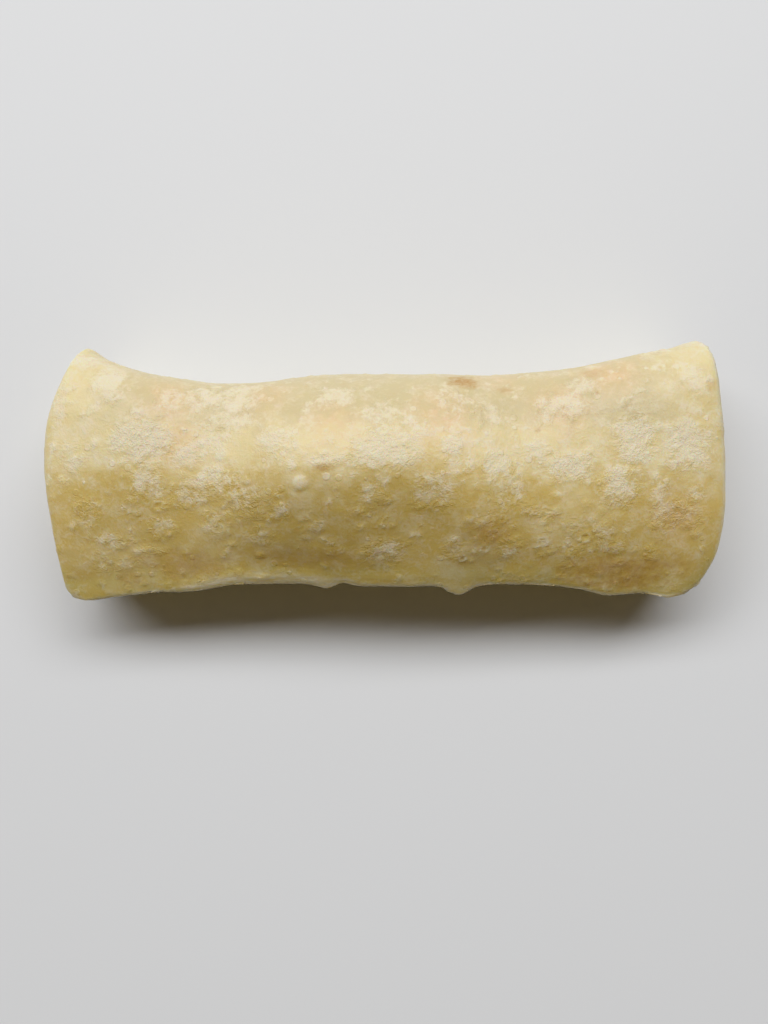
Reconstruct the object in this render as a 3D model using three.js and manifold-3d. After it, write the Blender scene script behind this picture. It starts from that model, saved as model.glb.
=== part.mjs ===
// A whole burrito: one flour tortilla, its two sides folded in over the filling and then rolled up,
// lying on its flat underside with the tortilla's free edge along the front.
//
// Millimetres. +X runs along the roll, +Y to its back and +Z up. The origin is under the middle of
// the roll, on the surface that it lies on.
import * as THREE from "three";
import { mergeVertices } from "three/addons/utils/BufferGeometryUtils.js";
import Module from "manifold-3d";

const wasm = await Module();
wasm.setup();

// ---- The roll, seen from above: each edge is a smooth curve through a few [along, across] points.
const LENGTH = 177;
const BACK_EDGE = [[-88, 38.1], [-80, 35.1], [-70, 32.1], [-58, 29.4], [-42, 27.4], [-8, 29.3],
  [14, 30.2], [32, 30], [56, 32], [80, 37.3], [88, 40]];
const FRONT_EDGE = [[-88, -33.3], [-80, -32.6], [-72, -31.4], [-62, -30], [-50, -29.3], [-36, -27.5],
  [-20, -26.8], [-8, -27.9], [0, -28.2], [42, -28.2], [60, -29.1], [72, -30.2], [77, -31], [82, -32.1],
  [88, -32.6]];
// And each end is one through a few [across, along] points.
const LEFT_END = [[-36, -79.5], [-33.5, -81.3], [-31, -83.2], [-28, -84.2], [-22, -84.5], [-8, -85.5],
  [6, -86], [16, -84.9], [26, -81.9], [35, -78.8]];
const RIGHT_END = [[-36, 79], [-33, 83.3], [-30.5, 86.7], [-28, 89], [-25, 90.7], [-19, 92.6],
  [-8, 92.9], [6, 92.1], [18, 91.3], [30, 90.7], [38, 89.5]];
const END_BLEND = 5; // a higher number keeps the ends' outlines nearer to the ends

// ---- The roll, seen from its side and its end.
const CREST_HEIGHT = [[-88, 33], [-66, 36.5], [-50, 37], [-38, 38.8], [-22, 44.4], [-7, 45.6], [12, 44],
  [24, 42.2], [36, 38.6], [50, 37], [66, 36], [88, 33.5]];
const WIDEST_LEVEL = [[-88, 14.5], [0, 16], [88, 14.5]]; // where the back stands out most
const LIP_LEVEL = [[-88, 21], [-66, 23], [0, 26.5], [40, 25.5], [66, 23], [88, 21]]; // the free edge
const CREST_LINE = [[-88, 8], [-66, 6], [-45, 3.2], [-28, 2.4], [-10, 3.2], [14, 3.2], [30, 0.5],
  [45, 0.5], [62, 3], [88, 11]]; // across
const TOP_SQUARENESS = [[-88, 2.9], [-52, 2.8], [-18, 2.1], [22, 2.1], [55, 2.7], [88, 2.9]];
const BOTTOM_SQUARENESS = 2.6; // 2 is an ellipse, and a higher number is squarer
const SLOPE_BEND = [[-88, 1.4], [-66, 0.5], [-45, 0.8], [-28, 0.45], [0, 0.35], [20, 0.5], [34, 1.3],
  [46, 2.4], [60, 2.4], [88, 3]]; // 0 is a straight slope
const SLOPE_END = 1.2; // the front slope's end turns down: 1 is a sharp edge, and a higher number is rounder
const FLAT_CUT = 1.6; // how much of the underside the surface below flattens off
const SWELLS = [[-55, 0.3, 1, 16], [-12, 0.42, 0.9, 15], [34, 0.2, 0.9, 17], [66, 0.36, 0.8, 14],
  [-34, 0.3, -0.9, 12], [10, 0.12, -0.8, 12]]; // soft lumps and hollows: along, turn, height, radius
const GIRTH = 160; // round the roll, for the distances between them

// ---- The tortilla's layers.
const SINGLE_LAYER = 2.1; // thickness of one layer, in the middle of the roll
const FOLDED_LAYER = 3.5; // thickness at the ends, where the folded side doubles it
const FOLD_REACH = 52; // how far the folded sides reach in from the ends
const FOLD_STEP = 14; // the thickness changes over this length
const LAYER_GAP = 0.35; // between one turn and the next
const TURNS = 1.88; // of tortilla round the filling
const LIP_DEPTH = 5; // how far the free edge stands clear of the turn below it
// How far it lifts off, along the roll, and how soon that dies out up the wrap.
const LIP_LIFT = [[-88, 0.8], [-60, 0.8], [-45, 1.5], [-18, 1.5], [-8, 0.8], [88, 0.8]];
const LIFT_FADE = 4.5;
const LIP_TIPS = [[-62, 0.4, 9], [-12.5, 1.1, 3], [-7.5, -0.7, 2.5], [22.8, 2.6, 3.8], [63.5, 1.6, 6],
  [36, -0.4, 10], [-36, -0.4, 9]]; // uneven free edge: along, reach, half width
const LIP_FALL = 0.7; // its tips drop this much for each millimetre that they reach out
const LIP_FADE = 4; // the free edge's unevenness dies out this far up the wrap
const LIP_CORNER = 1.5; // the free edge's corners are rounded off by this much, up the wrap
const LIP_CORNER_WIDTH = 5; // and along the roll
const FOLD_START = [0.03, 0.2]; // the folded sides taper in over these turns from the free edge
const CURL_LENGTH = 7; // at each end the layers curl in over this length
const CURL_DEPTH = 2.4;
const CURL_AT_SIDES = 0.2; // share of the curl that the back and the front get
const FOLD_WANDER = 1.3; // the inner turns' folds stand in and out by this much
const WANDER_RATE = 9; // radians of that for each turn
const WANDER_START = [0.45, 0.9]; // turns in over which it starts
const INNER_SINK = 8; // and the wrap's inner end sinks into the tucked sides by this much
const INNER_SINK_TURNS = 0.35;

// ---- The closed middle of each end, where the folded sides are tucked in.
const TUCK_RECESS = 5.5; // its rim, below the folds round it
const TUCK_BULGE = 6; // and how far its middle stands out again
const CREASE_DEPTH = 2.4;
const CREASE_WIDTH = 2;
const CREASE_SWING = 3.5; // the crease's rise and fall from one side to the other
const CREASE_WAVE = 14;
const TUCK_LEVEL = 0.2; // the tuck's middle lies this share of the rise above the widest level
const PLEATS = [[0.9, 0.7], [2.6, 0.9], [3.9, 0.8], [5.3, 1]]; // pulled pleats round it: direction, depth
const PLEAT_WIDTH = 2.2;

// ---- Fineness of the faceted surface.
const STEPS_ALONG = 44;
const END_CROWDING = 0.6; // from 0 to 1: how much finer the steps are near the ends
const STEPS_PER_TURN = 48;
const STEPS_THROUGH = 4;
const TUCK_RINGS = 7;

const half = LENGTH / 2;
const { clamp, lerp, smoothstep, euclideanModulo } = THREE.MathUtils;

// A share of the half length, from -1 to 1, with the steps crowded towards the ends.
const CROWDING_ANGLE = END_CROWDING * Math.PI / 2;
const crowded = (share) => Math.sin(share * CROWDING_ANGLE) / Math.sin(CROWDING_ANGLE);

// A smooth curve through the points, read at x.
function through(points, x) {
  const last = points.length - 1;
  const at = clamp(points.findIndex(([px]) => px > x) - 1, 0, last - 1);
  const i = x >= points[last][0] ? last - 1 : at;
  const slope = (k) => {
    const [a, b] = [points[Math.max(k - 1, 0)], points[Math.min(k + 1, last)]];
    return (b[1] - a[1]) / (b[0] - a[0]);
  };
  const [[x0, y0], [x1, y1]] = [points[i], points[i + 1]];
  const span = x1 - x0;
  const t = clamp((x - x0) / span, 0, 1);
  const rise = (1 + 2 * t) * (1 - t) ** 2 * y0 + t * t * (3 - 2 * t) * y1;
  return rise + span * t * (1 - t) * ((1 - t) * slope(i) - t * slope(i + 1));
}

const bell = (distance, width) => Math.exp(-((distance / width) ** 2));

// The outline of the roll across x, from the free edge at its front over the top, back and underside.
// The front's top quarter bends into a straight slope, and each other quarter is part of a superellipse.
class Section extends THREE.Curve {
  constructor(x) {
    super();
    this.arcLengthDivisions = 400;
    this.back = through(BACK_EDGE, x);
    this.front = through(FRONT_EDGE, x);
    this.middle = (this.back + this.front) / 2;
    this.crestLine = through(CREST_LINE, x);
    this.crest = through(CREST_HEIGHT, x);
    this.widest = through(WIDEST_LEVEL, x);
    this.lip = through(LIP_LEVEL, x);
    this.squareness = through(TOP_SQUARENESS, x);
    this.bend = through(SLOPE_BEND, x);
    this.tuckLevel = lerp(this.widest, this.crest, TUCK_LEVEL);
  }
  getPoint(t, target = new THREE.Vector2()) {
    const angle = Math.PI * (1 - 2 * t);
    const [c, s] = [Math.cos(angle), Math.sin(angle)];
    const [side, level] = c < 0 ? [this.front, this.lip] : [this.back, this.widest];
    if (s > 0 && c < 0) {
      const fallen = (Math.hypot(c, this.bend) - this.bend) / (Math.hypot(1, this.bend) - this.bend);
      const up = Math.max(1 - fallen, 0) ** (1 / SLOPE_END);
      return target.set(lerp(this.crestLine, side, -c), lerp(level, this.crest, up));
    }
    const power = 2 / (s > 0 ? this.squareness : BOTTOM_SQUARENESS);
    const [middle, end] = s > 0 ? [this.crestLine, this.crest] : [this.middle, -FLAT_CUT - SINGLE_LAYER];
    return target.set(lerp(middle, side, Math.abs(c) ** power), lerp(level, end, Math.abs(s) ** power));
  }
}

const sections = new Map();
function sectionAt(x) {
  const key = x.toFixed(4);
  if (!sections.has(key)) sections.set(key, new Section(x));
  return sections.get(key);
}

// Thickness that the folded side adds at x, this many turns in from the free edge.
function foldedIn(x, turns) {
  const along = smoothstep(Math.abs(x), half - FOLD_REACH, half - FOLD_REACH + FOLD_STEP);
  return (FOLDED_LAYER - SINGLE_LAYER) * along * smoothstep(turns, ...FOLD_START);
}

const layer = (x, turns) => SINGLE_LAYER + foldedIn(x, turns);

// Depth of the outer face of the wrap below the roll's outline: each turn lies just inside the one before.
const wrapDepth = (x, turns) => (SINGLE_LAYER + LAYER_GAP) * turns + foldedIn(x, turns - 1);

// How far up the wrap the free edge lies at x, as a share of a turn.
const edgeStart = (x) => LIP_CORNER * bell(half - Math.abs(x), LIP_CORNER_WIDTH) / sectionAt(x).getLength();

// The height of the soft lumps and hollows, at x and a share of a turn.
function swell(x, turn) {
  return SWELLS.reduce((sum, [along, at, height, radius]) => {
    return sum + height * bell(Math.hypot(x - along, (turn - at) * GIRTH), radius);
  }, 0);
}

// A point of the wrap: x along the roll, turns in from the free edge, and depth below the outer face.
function wrapPoint(x, turns, depth) {
  const section = sectionAt(x);
  const turn = euclideanModulo(turns, 1);
  const point = section.getPointAt(turn);
  const tangent = section.getTangentAt(turn);
  const inward = new THREE.Vector2(tangent.y, -tangent.x);
  const out = half - Math.abs(x);
  const curl = CURL_DEPTH * (1 - Math.sqrt(1 - clamp(1 - out / CURL_LENGTH, 0, 1) ** 2));
  const curled = curl * lerp(CURL_AT_SIDES, 1, Math.abs(inward.y));
  const fromEdge = turns * section.getLength();
  const lift = through(LIP_LIFT, x) * bell(fromEdge, LIFT_FADE);
  point.addScaledVector(inward, depth + wrapDepth(x, turns) + curled - swell(x, turn) - lift);
  const tip = LIP_TIPS.reduce((sum, [at, reach, width]) => sum + reach * bell(x - at, width), 0);
  point.sub(new THREE.Vector2(1, LIP_FALL).multiplyScalar(tip * bell(fromEdge, LIP_FADE)));
  return new THREE.Vector3(x, point.x, point.y);
}

// Moves a point along the roll, so that the roll's ends have their outlines seen from above.
function toEnds(point, x) {
  const share = Math.abs(x / half) ** END_BLEND;
  const end = x > 0 ? through(RIGHT_END, point.y) - half : through(LEFT_END, point.y) + half;
  point.x += end * share;
  return point;
}

// Maps each vertex of a closed unit shape, and gives the shape as a solid.
function solidFrom(geometry, place) {
  geometry.deleteAttribute("normal");
  geometry.deleteAttribute("uv");
  const merged = mergeVertices(geometry, 1e-5);
  const vertices = merged.getAttribute("position");
  for (let i = 0; i < vertices.count; i++) {
    const { x, y, z } = place(new THREE.Vector3().fromBufferAttribute(vertices, i));
    vertices.setXYZ(i, x, y, z);
  }
  const mesh = new wasm.Mesh({
    numProp: 3,
    vertProperties: vertices.array,
    triVerts: new Uint32Array(merged.index.array),
  });
  const solid = new wasm.Manifold(mesh);
  return solid.volume() < 0 ? turnedOut(mesh) : solid;
}

// The same solid with its faces pointing out.
function turnedOut(mesh) {
  const triVerts = mesh.triVerts.slice();
  for (let i = 0; i < triVerts.length; i += 3) {
    [triVerts[i + 1], triVerts[i + 2]] = [triVerts[i + 2], triVerts[i + 1]];
  }
  return new wasm.Manifold(new wasm.Mesh({ numProp: 3, vertProperties: mesh.vertProperties, triVerts }));
}

// The tortilla: a flat sheet with round folds at both ends, rolled up. Its box is two units along,
// one thick and TURNS wide.
function tortillaSheet() {
  const steps = Math.round(TURNS * STEPS_PER_TURN);
  const sheet = new THREE.BoxGeometry(2, 1, TURNS, STEPS_ALONG, STEPS_THROUGH, steps);
  return solidFrom(sheet, (unit) => {
    const along = crowded(unit.x);
    const across = unit.z + TURNS / 2;
    const start = edgeStart(along * half);
    const turns = across + start * (1 - smoothstep(across, ...FOLD_START));
    const thickness = layer(along * half, turns);
    const fromMiddle = unit.y * thickness;
    const round = Math.sqrt(Math.max((thickness / 2) ** 2 - fromMiddle ** 2, 0));
    const atFold = Math.abs(unit.x) > 1 - 1e-6;
    const wave = Math.sin(WANDER_RATE * turns + 2 * along);
    const wander = FOLD_WANDER * wave * smoothstep(turns, ...WANDER_START);
    const sunk = INNER_SINK * smoothstep(turns, TURNS - INNER_SINK_TURNS, TURNS);
    const flat = half - FOLDED_LAYER / 2 + (wander - sunk) * Math.abs(along) ** END_BLEND;
    const x = along * flat + (atFold ? Math.sign(along) * round : 0);
    const drop = across < 1e-6 ? round / sectionAt(x).getLength() : 0;
    return toEnds(wrapPoint(x, Math.max(turns - drop, 0), fromMiddle + thickness / 2), x);
  });
}

// What the sheet is rolled round, and the tucked sides that close the ends: its side is buried in the sheet.
function filledCore() {
  const profile = [];
  for (let i = 0; i <= TUCK_RINGS; i++) profile.push(new THREE.Vector2(i / TUCK_RINGS, -1));
  for (let i = 1; i < STEPS_ALONG; i++) profile.push(new THREE.Vector2(1, (2 * i) / STEPS_ALONG - 1));
  for (let i = TUCK_RINGS; i >= 0; i--) profile.push(new THREE.Vector2(i / TUCK_RINGS, 1));
  profile[0].x = 0;
  const core = new THREE.LatheGeometry(profile, STEPS_PER_TURN);
  return solidFrom(core, (unit) => {
    const spread = Math.min(Math.hypot(unit.x, unit.z), 1);
    const share = euclideanModulo(Math.atan2(unit.x, unit.z) / (2 * Math.PI), 1);
    const x = crowded(unit.y) * (half - TUCK_RECESS);
    const section = sectionAt(x);
    const turns = LIP_DEPTH / section.getLength() + edgeStart(x) + share;
    const rim = wrapPoint(x, turns, layer(x, turns) / 2);
    const middle = new THREE.Vector3(x, section.middle, section.tuckLevel);
    const point = middle.lerp(rim, spread);
    if (Math.abs(unit.y) > 1 - 1e-6) point.x += Math.sign(x) * tuck(spread, point, section);
    return toEnds(point, point.x);
  });
}

// How far the tucked middle of an end stands out from its rim, with the crease where the sides meet.
function tuck(spread, point, section) {
  const [across, up] = [point.y - section.middle, point.z - section.tuckLevel];
  const bulge = TUCK_BULGE * (1 - spread ** 3);
  const line = CREASE_SWING * Math.sin(across / CREASE_WAVE);
  const crease = CREASE_DEPTH * bell(up - line, CREASE_WIDTH) * (1 - spread ** 4);
  const pleats = PLEATS.reduce((sum, [at, depth]) => {
    const along = across * Math.cos(at) + up * Math.sin(at);
    const aside = up * Math.cos(at) - across * Math.sin(at);
    return along > 0 ? sum + depth * bell(aside, PLEAT_WIDTH) : sum;
  }, 0);
  return bulge - crease - 4 * pleats * spread ** 2 * (1 - spread ** 2);
}

// The surface that the roll lies on, as a block to cut its underside flat.
function tableBlock() {
  const depth = 20;
  return solidFrom(new THREE.BoxGeometry(2 * LENGTH, LENGTH, depth), (p) => p.setZ(p.z - depth / 2));
}

function meshFrom(name, solid, material) {
  const { vertProperties, triVerts } = solid.getMesh();
  const geometry = new THREE.BufferGeometry();
  geometry.setAttribute("position", new THREE.BufferAttribute(new Float32Array(vertProperties), 3));
  geometry.setIndex(new THREE.BufferAttribute(new Uint32Array(triVerts), 1));
  geometry.computeVertexNormals();
  const mesh = new THREE.Mesh(geometry, material);
  mesh.name = name;
  return mesh;
}

const flour = new THREE.MeshStandardMaterial({ color: 0xdfcf9b, roughness: 0.75, metalness: 0 });
const roll = tortillaSheet().add(filledCore()).subtract(tableBlock());
const tortilla = meshFrom("tortilla_roll", roll, flour);

// The origin is under the middle of the roll's box.
tortilla.geometry.computeBoundingBox();
const middle = tortilla.geometry.boundingBox.getCenter(new THREE.Vector3());
tortilla.geometry.translate(-middle.x, -middle.y, 0);

const burrito = new THREE.Group();
burrito.add(tortilla);
export default burrito;
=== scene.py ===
import math
from types import SimpleNamespace

import bmesh
import bpy
import numpy as np
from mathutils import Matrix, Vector, kdtree, noise
from mathutils.bvhtree import BVHTree


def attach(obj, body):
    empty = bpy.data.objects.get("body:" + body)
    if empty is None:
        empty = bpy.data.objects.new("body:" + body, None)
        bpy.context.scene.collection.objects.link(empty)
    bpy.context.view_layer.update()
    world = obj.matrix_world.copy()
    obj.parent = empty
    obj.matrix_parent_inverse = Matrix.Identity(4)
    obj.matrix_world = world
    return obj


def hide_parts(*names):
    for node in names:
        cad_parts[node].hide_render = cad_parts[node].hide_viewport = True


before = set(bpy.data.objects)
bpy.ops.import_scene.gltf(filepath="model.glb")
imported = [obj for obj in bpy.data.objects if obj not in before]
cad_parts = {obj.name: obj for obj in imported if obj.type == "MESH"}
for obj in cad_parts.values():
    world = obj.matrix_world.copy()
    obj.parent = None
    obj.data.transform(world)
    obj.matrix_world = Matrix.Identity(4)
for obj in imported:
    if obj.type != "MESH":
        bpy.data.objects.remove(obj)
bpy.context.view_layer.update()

bl_info = {
    "name": "Burrito",
    "version": (1, 0, 0),
    "blender": (4, 5, 0),
    "location": "3D View > Sidebar > Burrito",
    "description": "A whole burrito in a soft flour tortilla, on a pale floor under window light",
    "category": "Add Mesh",
}

# Shapes are worked out in millimetres and are written into the meshes in metres.
MM = 0.001
NODE = "tortilla_roll"

# ---- The roll, seen from above: each edge is a smooth curve through a few (along, across) points.
LENGTH = 177
HALF = LENGTH / 2
BACK_EDGE = (
    (-88, 38.1), (-80, 35.1), (-70, 32.1), (-58, 29.4), (-42, 27.4), (-8, 29.3), (14, 30.2),
    (32, 30), (56, 32), (80, 37.3), (88, 40),
)
FRONT_EDGE = (
    (-88, -33.3), (-80, -32.6), (-72, -31.4), (-62, -30), (-50, -29.3), (-36, -27.5), (-20, -26.8),
    (-8, -27.9), (0, -28.2), (42, -28.2), (60, -29.1), (72, -30.2), (77, -31), (82, -32.1),
    (88, -32.6),
)
# And each end is one through a few (across, along) points.
LEFT_END = (
    (-36, -79.5), (-33.5, -81.3), (-31, -83.2), (-28, -84.2), (-22, -84.5), (-8, -85.5), (6, -86),
    (16, -84.9), (26, -81.9), (35, -78.8),
)
RIGHT_END = (
    (-36, 79), (-33, 83.3), (-30.5, 86.7), (-28, 89), (-25, 90.7), (-19, 92.6), (-8, 92.9),
    (6, 92.1), (18, 91.3), (30, 90.7), (38, 89.5),
)
END_BLEND = 5  # the power by which an end's outline fades out towards the middle

# ---- The roll, seen from its side and its end: smooth curves through (along, value) points.
CREST_HEIGHT = (
    (-88, 33), (-66, 36.5), (-50, 37), (-38, 38.8), (-22, 44.4), (-7, 45.6), (12, 44), (24, 42.2),
    (36, 38.6), (50, 37), (66, 36), (88, 33.5),
)
# How far back the crest lies.
CREST_LINE = (
    (-88, 8), (-66, 6), (-45, 3.2), (-28, 2.4), (-10, 3.2), (14, 3.2), (30, 0.5), (45, 0.5),
    (62, 3), (88, 11),
)
# The heights where the back stands out most and where the free edge lies.
WIDEST_LEVEL = ((-88, 14.5), (0, 16), (88, 14.5))
LIP_LEVEL = ((-88, 21), (-66, 23), (0, 26.5), (40, 25.5), (66, 23), (88, 21))
TOP_SQUARENESS = ((-88, 2.9), (-52, 2.8), (-18, 2.1), (22, 2.1), (55, 2.7), (88, 2.9))
BOTTOM_SQUARENESS = 2.6
# The front slope is straight below this share of its width, and its very end turns down.
SLOPE_BEND = (
    (-88, 1.4), (-66, 0.5), (-45, 0.8), (-28, 0.45), (0, 0.35), (20, 0.5), (34, 1.3), (46, 2.4),
    (60, 2.4), (88, 3),
)
SLOPE_END = 1.2
FLAT_CUT = 1.6  # how far the roll's own weight flattens its underside
CONTACT_SOFTNESS = 0.5  # rounds the edge of the flattened underside
# Soft lumps and hollows: along, share of a turn, height, radius.
SWELLS = (
    (-55, 0.3, 1, 16),
    (-12, 0.42, 0.9, 15),
    (34, 0.2, 0.9, 17),
    (66, 0.36, 0.8, 14),
    (-34, 0.3, -0.9, 12),
    (10, 0.12, -0.8, 12),
)
GIRTH = 160  # about how far it is once round the roll

# ---- The tortilla's layers.
SINGLE_LAYER = 2.1
FOLDED_LAYER = 3.5
LAYER_GAP = 0.35
TURNS = 1.88
# The sides are folded in this far, over a step of this length, and thicken the wrap from these turns on.
FOLD_REACH = 52
FOLD_STEP = 14
FOLD_START = (0.03, 0.2)
# The round folds at the ends curl inwards over this length, less at the sides than on top.
CURL_LENGTH = 7
CURL_DEPTH = 2.4
CURL_AT_SIDES = 0.2
# The folds wander along the roll, but under the free edge the fold lies level with it.
FOLD_WANDER = 1.3
WANDER_RATE = 9
WANDER_SKEW = 2
WANDER_START = (0.45, 0.9)
LEVEL_TURN = 1.03
LEVEL_SPAN = 0.14
# The innermost turns lie deeper in the ends.
INNER_SINK = 8
INNER_SINK_TURNS = 0.35

# ---- The tortilla's free edge: it lifts off a little, and its tips reach out and drop.
LIP_DEPTH = 5
LIP_LIFT = ((-88, 0.8), (-60, 0.8), (-45, 1.5), (-18, 1.5), (-8, 0.8), (88, 0.8))
LIFT_FADE = 4.5
# Tips and notches: along, reach, half width.
LIP_TIPS = (
    (-62, 0.4, 9), (-12.5, 1.1, 3), (-7.5, -0.7, 2.5), (22.8, 2.6, 3.8), (63.5, 1.6, 6),
    (36, -0.4, 10), (-36, -0.4, 9),
)
LIP_FADE = 4
LIP_FALL = 0.7  # how far a tip drops for each millimetre that it reaches out
# The edge's corners are cut back.
LIP_CORNER = 1.5
LIP_CORNER_WIDTH = 5

# ---- The closed middle of each end, with a crease across it and pleats pulled to its rim.
TUCK_RECESS = 5.5
TUCK_BULGE = 6
TUCK_LEVEL = 0.2
CREASE_DEPTH = 2.4
CREASE_WIDTH = 2
CREASE_SWING = 3.5
CREASE_WAVE = 14
PLEATS = ((0.9, 0.7), (2.6, 0.9), (3.9, 0.8), (5.3, 1))  # direction in radians, depth
PLEAT_WIDTH = 2.2

# ---- Fineness of the meshes.
OUTLINE_COLUMNS = 2 * LENGTH + 1
OUTLINE_STEPS = 720
STEPS_ALONG = 240
STEPS_PER_TURN = 280
STEPS_THROUGH = 5
CORE_STEPS_ALONG = 60
CORE_STEPS_PER_TURN = 160
TUCK_RINGS = 26
NEARLY = 1e-6  # a place on a unit shape that is this near to its edge is on it

# ---- Blistered, floury patches, seen from above: along, across, half length, half width, strength.
PATCHES = (
    (-71, 22, 3.6, 5.2, 0.8),
    (-62, 7, 6.8, 4.4, 1),
    (-44, 7, 3.8, 3.2, 0.7),
    (-38, 18, 7.4, 5.7, 0.7),
    (-27, 6, 4.5, 3, 0.7),
    (-13, 18, 5, 3.5, 0.6),
    (0, 13, 4, 3.2, 0.5),
    (16, 5, 2.9, 3, 0.9),
    (0, 4, 7.4, 4.8, 0.8),
    (11, -7, 4.1, 4, 0.55),
    (-3, -7, 3.6, 3, 0.35),
    (-15, 1, 3, 1.8, 0.9),
    (-26, -11, 2.4, 1.8, 0.6),
    (-35, -10, 4, 3.9, 0.8),
    (-49, -7, 4.8, 3.4, 0.7),
    (-44, -15, 2.7, 2.8, 0.7),
    (-31, -18, 2.5, 2, 0.6),
    (-18, -15, 2.4, 2.1, 0.6),
    (0, -22, 5.2, 3.6, 0.8),
    (28, 0, 5.4, 3.3, 0.6),
    (46, 0, 5.4, 3.2, 0.9),
    (63, 7, 4.7, 5.2, 1),
    (59, -5, 4.7, 4.9, 0.9),
    (77, 5, 5, 5.8, 0.8),
    (75, -13, 6.4, 3.6, 0.8),
    (36, -11, 2, 1.8, 0.7),
    (41, -13, 2.2, 2.3, 0.7),
    (31, -21, 2.5, 2.2, 0.7),
    (41, -21, 2.5, 1.8, 0.6),
    (56, -18, 3, 3, 0.7),
    (60, -21, 2.8, 2.3, 0.7),
    (69, -22, 1.9, 2, 0.7),
    (48, -24, 2.8, 2.3, 0.5),
    (26, -15, 4.5, 3.6, 0.3),
    (80, -7, 2, 2, 0.8),
    (-80, 3, 3.4, 3, 0.4),
    (-84, 16, 2.2, 4.6, 0.6),
    (-77, -11, 3, 3.6, 0.7),
    (-71, -19, 4, 1.5, 0.9),
    (-60, -21.5, 3.4, 1.4, 0.9),
    (-46, 18, 5, 4, 0.7),
    (-54, 17.5, 4, 3, 0.5),
    (-39, 11, 7, 3, 0.6),
    (-50, 3, 4, 2.5, 0.6),
    (-60, -3.5, 3.6, 4.5, 0.7),
    (-41, -3.5, 4, 3, 0.7),
    (-57, -15.5, 3.5, 2.5, 0.5),
    (-70, -25, 6, 2.4, 0.5),
    (-6, 1, 3, 2, 0.6),
    (16.5, 16, 4, 4.5, 0.35),
    (7, 10, 5, 3, 0.45),
    (26, 13, 4.5, 3, 0.45),
    (44, 16, 6, 3.4, 0.85),
    (50, 21, 3.5, 2.5, 0.8),
    (39, 3, 4, 2.4, 0.6),
    (30, -6, 5, 4, 0.35),
    (69.5, -8, 2.5, 3.5, 0.6),
    (80, 23, 4, 4, 0.6),
    (48.5, -15, 2.4, 2.4, 0.6),
    (17, -21.5, 2.6, 3, 0.6),
)
# How far a patch's outline wanders, over which distance, and how ragged and fine it is besides.
WARP_REACH = 2.2
WARP_SIZE = 4.5
PATCH_RAGGED = 0.12
PATCH_FINE = 0.1
# How far out a patch is whole and where it ends, as shares of its half sizes.
FLOUR_FADE = (0.35, 1.6)
CRINKLE_FADE = (0.9, 1.6)
PATCH_REACH = 2  # nothing of a patch lies further out
# The small blisters that crowd a patch: how far out, how many for its half sizes' product, and the ranges
# of their radius and strength.
CROWD_REACH = 1.1
CROWD_SHARE = 0.8
CROWD_RANGES = ((0.7, 1.5), (0.5, 1))

# ---- More patches, each kind with the ranges of its half length, half width and strength.
HIDDEN_PATCHES = 60
HIDDEN_RANGES = ((2, 7), (2, 5), (0.5, 1))
# They lie below this height, or past these places along and across, where little shows from above.
HIDDEN_BELOW = 20
HIDDEN_END = 87
HIDDEN_BACK = 27
SMALL_PATCHES = 320
SMALL_RANGES = ((0.8, 2.4), (0.7, 1.8), (0.25, 0.65))
# The small ones are weaker by this share in front of these places across.
SMALL_FADE = 0.5
SMALL_FADE_SLOPE = (-8, 0)

# ---- Small blisters all over, more of them in some places than in others.
PIMPLES = 1500
PIMPLE_RADIUS = (0.7, 1.6)
PIMPLE_STRENGTH = (0.3, 0.8)
CROWD_SIZE = 14  # about how large such a place is
CROWD_CHANCE = (-0.5, 0.5)
CROWD_LEVEL = -0.05
# Their height and the width of their sunk middles, as shares of the radius, and how far those are sunk.
PIMPLE_HEIGHT = 0.16
SUNK_WIDTH = 0.45
SUNK_RANGE = (-0.6, 0.6)
SUNK_RADIUS = 1.2  # a blister that is larger isn't sunk any further
PIMPLE_FLOUR = 0.8
PIMPLE_CRINKLE = 0.7
# The rise of a patch as a whole, and the small wrinkles on it.
PATCH_RISE = 0.12
WRINKLE_HEIGHT = 0.26
WRINKLE_MIDDLE = 0.6
WRINKLE_SIZE = 2.1
WRINKLE_WANDER = 0.5

# ---- Round blisters of their own: along, across, radius, height.
BLISTERS = (
    (-21, -4.6, 2, 0.35), (16, 5, 2.6, 0.2), (-71, 22, 3.4, 0.25), (-26, -11, 1.9, 0.3),
    (63, 3, 2.4, 0.3),
)
# Burst blisters, a raised rim round a pit: along, across, radius, height.
RINGS = (
    (51, -18, 1.25, 0.35), (-58, -10, 1.25, 0.3), (19.5, -23.5, 0.9, 0.35), (71, 26, 1.2, 0.25),
    (29, -13.5, 1, 0.3), (40, -19, 1.3, 0.25), (25, -21, 1.1, 0.25), (47, -21, 1.2, 0.2),
)
# Their reach, the widths of rim and pit, and the pit's depth, as shares of their radius and height.
RING_REACH = 1.6
RIM_WIDTH = 0.33
PIT_WIDTH = 0.5
PIT_DEPTH = 0.6
RIM_FLOUR = 0.9

# ---- The relief as a whole.
UNEVEN = ((11, 0.15), (4.5, 0.08))  # soft unevenness: size, height
SINK = 0.33  # how far the plain dough lies inside the solid, so that its blisters stay within it
GROUND_FADE = (0.3, 3)  # the relief fades in between these heights
SEED = 7
HIGH_UP = 100  # a height above everything, from which the placed marks are dropped onto the surface
# Noise: how fast its finer octaves weaken, and how much finer each is.
NOISE_FALL = 0.8
NOISE_STEP = 2.1
RAGGED_SIZE = 3.2
FINE_SIZE = 1.4
CELL_CREASE = 0.5  # how wide the creases between cells are

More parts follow.
